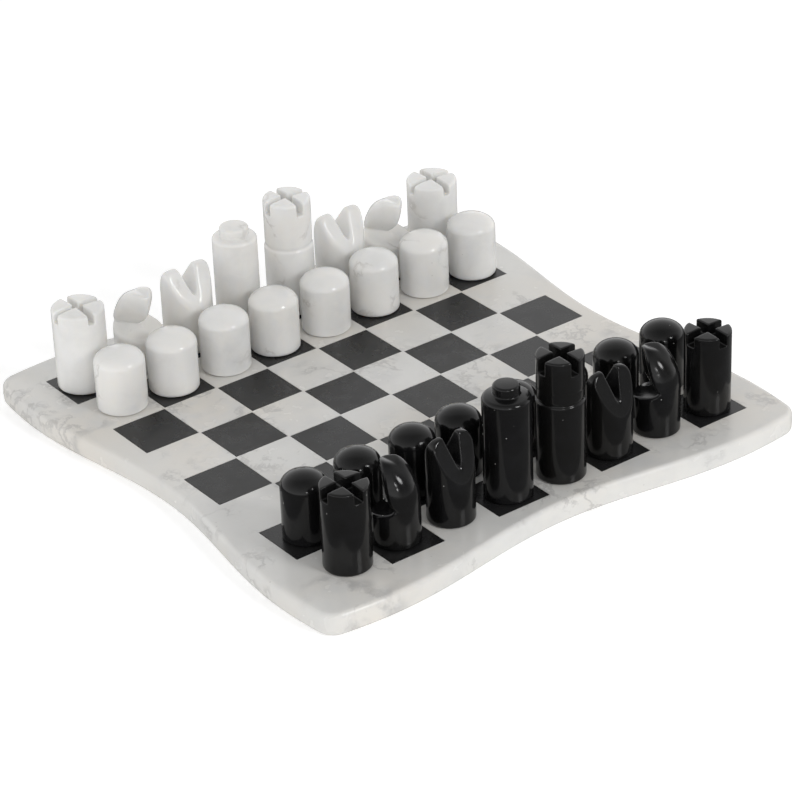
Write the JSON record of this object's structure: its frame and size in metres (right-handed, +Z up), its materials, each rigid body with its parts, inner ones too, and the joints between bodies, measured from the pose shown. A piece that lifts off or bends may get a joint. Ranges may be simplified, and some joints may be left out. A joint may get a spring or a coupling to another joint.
{
  "type": "chess set with board",
  "caption": "Marble chess set: wavy-edged slab with inlaid tiles and loose cylindrical pieces, dome pawns and cross-cut rooks.",
  "frame": {"origin": "middle of the slab's flat underside", "axes": "+Z up, +Y towards the white side, +X along the ranks to the right as seen from the black side"},
  "size_m": [0.3538, 0.3538, 0.0937],
  "materials": {
    "slab_marble": "soft polish, white with grey veins",
    "tile_marble": "polished black",
    "white_marble": "soft polish, white with grey clouding",
    "black_marble": "polished black"
  },
  "bodies": {
    "board": {"board_slab": "slab_marble", "tile_pair_01": "tile_marble", "tile_pair_02": "tile_marble", "tile_pair_03": "tile_marble", "tile_pair_04": "tile_marble", "tile_pair_05": "tile_marble", "tile_pair_06": "tile_marble", "tile_pair_07": "tile_marble", "tile_pair_08": "tile_marble", "tile_pair_09": "tile_marble", "tile_pair_10": "tile_marble", "tile_pair_11": "tile_marble", "tile_pair_12": "tile_marble", "tile_pair_13": "tile_marble", "tile_pair_14": "tile_marble", "tile_pair_15": "tile_marble", "tile_pair_16": "tile_marble"},
    "white_rook_1": {"white_rook_1": "white_marble"},
    "white_knight_1": {"white_knight_1": "white_marble"},
    "white_bishop_1": {"white_bishop_1": "white_marble"},
    "white_queen": {"white_queen": "white_marble"},
    "white_king": {"white_king": "white_marble"},
    "white_bishop_2": {"white_bishop_2": "white_marble"},
    "white_knight_2": {"white_knight_2": "white_marble"},
    "white_rook_2": {"white_rook_2": "white_marble"},
    "white_pawn_1": {"white_pawn_1": "white_marble"},
    "white_pawn_2": {"white_pawn_2": "white_marble"},
    "white_pawn_3": {"white_pawn_3": "white_marble"},
    "white_pawn_4": {"white_pawn_4": "white_marble"},
    "white_pawn_5": {"white_pawn_5": "white_marble"},
    "white_pawn_6": {"white_pawn_6": "white_marble"},
    "white_pawn_7": {"white_pawn_7": "white_marble"},
    "white_pawn_8": {"white_pawn_8": "white_marble"},
    "black_rook_1": {"black_rook_1": "black_marble"},
    "black_knight_1": {"black_knight_1": "black_marble"},
    "black_bishop_1": {"black_bishop_1": "black_marble"},
    "black_queen": {"black_queen": "black_marble"},
    "black_king": {"black_king": "black_marble"},
    "black_bishop_2": {"black_bishop_2": "black_marble"},
    "black_knight_2": {"black_knight_2": "black_marble"},
    "black_rook_2": {"black_rook_2": "black_marble"},
    "black_pawn_1": {"black_pawn_1": "black_marble"},
    "black_pawn_2": {"black_pawn_2": "black_marble"},
    "black_pawn_3": {"black_pawn_3": "black_marble"},
    "black_pawn_4": {"black_pawn_4": "black_marble"},
    "black_pawn_5": {"black_pawn_5": "black_marble"},
    "black_pawn_6": {"black_pawn_6": "black_marble"},
    "black_pawn_7": {"black_pawn_7": "black_marble"},
    "black_pawn_8": {"black_pawn_8": "black_marble"}
  },
  "joints": [
    {"name": "white_rook_1_lift", "type": "slide", "parent": "board", "child": "white_rook_1", "axis": [0, 0, 1], "range_m": [0, 0.08]},
    {"name": "white_knight_1_lift", "type": "slide", "parent": "board", "child": "white_knight_1", "axis": [0, 0, 1], "range_m": [0, 0.08]},
    {"name": "white_bishop_1_lift", "type": "slide", "parent": "board", "child": "white_bishop_1", "axis": [0, 0, 1], "range_m": [0, 0.08]},
    {"name": "white_queen_lift", "type": "slide", "parent": "board", "child": "white_queen", "axis": [0, 0, 1], "range_m": [0, 0.08]},
    {"name": "white_king_lift", "type": "slide", "parent": "board", "child": "white_king", "axis": [0, 0, 1], "range_m": [0, 0.08]},
    {"name": "white_bishop_2_lift", "type": "slide", "parent": "board", "child": "white_bishop_2", "axis": [0, 0, 1], "range_m": [0, 0.08]},
    {"name": "white_knight_2_lift", "type": "slide", "parent": "board", "child": "white_knight_2", "axis": [0, 0, 1], "range_m": [0, 0.08]},
    {"name": "white_rook_2_lift", "type": "slide", "parent": "board", "child": "white_rook_2", "axis": [0, 0, 1], "range_m": [0, 0.08]},
    {"name": "white_pawn_1_lift", "type": "slide", "parent": "board", "child": "white_pawn_1", "axis": [0, 0, 1], "range_m": [0, 0.08]},
    {"name": "white_pawn_2_lift", "type": "slide", "parent": "board", "child": "white_pawn_2", "axis": [0, 0, 1], "range_m": [0, 0.08]},
    {"name": "white_pawn_3_lift", "type": "slide", "parent": "board", "child": "white_pawn_3", "axis": [0, 0, 1], "range_m": [0, 0.08]},
    {"name": "white_pawn_4_lift", "type": "slide", "parent": "board", "child": "white_pawn_4", "axis": [0, 0, 1], "range_m": [0, 0.08]},
    {"name": "white_pawn_5_lift", "type": "slide", "parent": "board", "child": "white_pawn_5", "axis": [0, 0, 1], "range_m": [0, 0.08]},
    {"name": "white_pawn_6_lift", "type": "slide", "parent": "board", "child": "white_pawn_6", "axis": [0, 0, 1], "range_m": [0, 0.08]},
    {"name": "white_pawn_7_lift", "type": "slide", "parent": "board", "child": "white_pawn_7", "axis": [0, 0, 1], "range_m": [0, 0.08]},
    {"name": "white_pawn_8_lift", "type": "slide", "parent": "board", "child": "white_pawn_8", "axis": [0, 0, 1], "range_m": [0, 0.08]},
    {"name": "black_rook_1_lift", "type": "slide", "parent": "board", "child": "black_rook_1", "axis": [0, 0, 1], "range_m": [0, 0.08]},
    {"name": "black_knight_1_lift", "type": "slide", "parent": "board", "child": "black_knight_1", "axis": [0, 0, 1], "range_m": [0, 0.08]},
    {"name": "black_bishop_1_lift", "type": "slide", "parent": "board", "child": "black_bishop_1", "axis": [0, 0, 1], "range_m": [0, 0.08]},
    {"name": "black_queen_lift", "type": "slide", "parent": "board", "child": "black_queen", "axis": [0, 0, 1], "range_m": [0, 0.08]},
    {"name": "black_king_lift", "type": "slide", "parent": "board", "child": "black_king", "axis": [0, 0, 1], "range_m": [0, 0.08]},
    {"name": "black_bishop_2_lift", "type": "slide", "parent": "board", "child": "black_bishop_2", "axis": [0, 0, 1], "range_m": [0, 0.08]},
    {"name": "black_knight_2_lift", "type": "slide", "parent": "board", "child": "black_knight_2", "axis": [0, 0, 1], "range_m": [0, 0.08]},
    {"name": "black_rook_2_lift", "type": "slide", "parent": "board", "child": "black_rook_2", "axis": [0, 0, 1], "range_m": [0, 0.08]},
    {"name": "black_pawn_1_lift", "type": "slide", "parent": "board", "child": "black_pawn_1", "axis": [0, 0, 1], "range_m": [0, 0.08]},
    {"name": "black_pawn_2_lift", "type": "slide", "parent": "board", "child": "black_pawn_2", "axis": [0, 0, 1], "range_m": [0, 0.08]},
    {"name": "black_pawn_3_lift", "type": "slide", "parent": "board", "child": "black_pawn_3", "axis": [0, 0, 1], "range_m": [0, 0.08]},
    {"name": "black_pawn_4_lift", "type": "slide", "parent": "board", "child": "black_pawn_4", "axis": [0, 0, 1], "range_m": [0, 0.08]},
    {"name": "black_pawn_5_lift", "type": "slide", "parent": "board", "child": "black_pawn_5", "axis": [0, 0, 1], "range_m": [0, 0.08]},
    {"name": "black_pawn_6_lift", "type": "slide", "parent": "board", "child": "black_pawn_6", "axis": [0, 0, 1], "range_m": [0, 0.08]},
    {"name": "black_pawn_7_lift", "type": "slide", "parent": "board", "child": "black_pawn_7", "axis": [0, 0, 1], "range_m": [0, 0.08]},
    {"name": "black_pawn_8_lift", "type": "slide", "parent": "board", "child": "black_pawn_8", "axis": [0, 0, 1], "range_m": [0, 0.08]}
  ]
}
